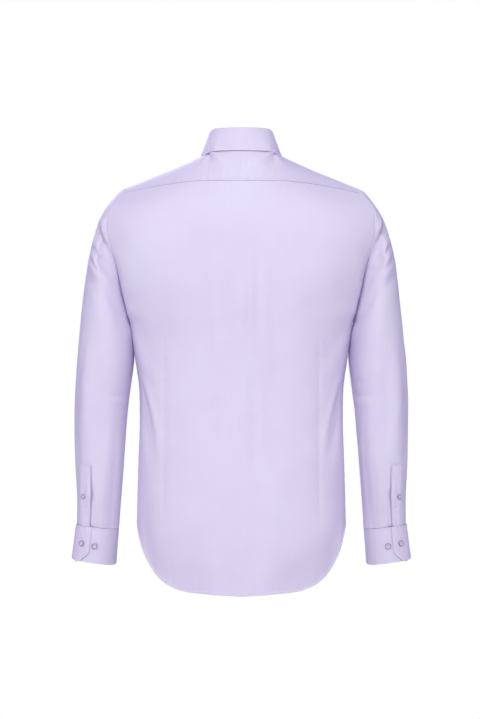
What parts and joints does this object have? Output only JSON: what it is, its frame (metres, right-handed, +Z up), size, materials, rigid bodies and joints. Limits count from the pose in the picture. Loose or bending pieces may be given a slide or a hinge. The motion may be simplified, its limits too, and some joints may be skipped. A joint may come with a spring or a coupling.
{
  "type": "long sleeve dress shirt",
  "caption": "Men's long sleeve dress shirt in smooth lavender cotton poplin, buttoned up, filled out as worn, with mauve buttons, a turned-down collar and a rounded shirttail hem",
  "frame": {"origin": "base of the neck, on the centre plane, at the height of the neck points of the shoulders", "axes": "+Z up as worn, the front faces -Y and the back +Y, the wearer's left is +X"},
  "size_m": [0.5954, 0.2338, 0.8077],
  "materials": {
    "cotton": "matt",
    "buttons": "gloss"
  },
  "bodies": {
    "root": {"back": "cotton", "yoke": "cotton", "front_left": "cotton", "front_right": "cotton", "collar_stand": "cotton", "collar_fall": "cotton", "sleeve_left": "cotton", "sleeve_right": "cotton", "cuff_left": "cotton", "cuff_right": "cotton", "sleeve_placket_left": "cotton", "sleeve_placket_right": "cotton", "button_collar": "buttons", "button_front_1": "buttons", "button_front_2": "buttons", "button_front_3": "buttons", "button_front_4": "buttons", "button_front_5": "buttons", "button_front_6": "buttons", "button_placket_left": "buttons", "button_placket_right": "buttons", "button_cuff_left": "buttons", "button_cuff_right": "buttons", "button_cuff_spare_left": "buttons", "button_cuff_spare_right": "buttons"}
  },
  "joints": []
}
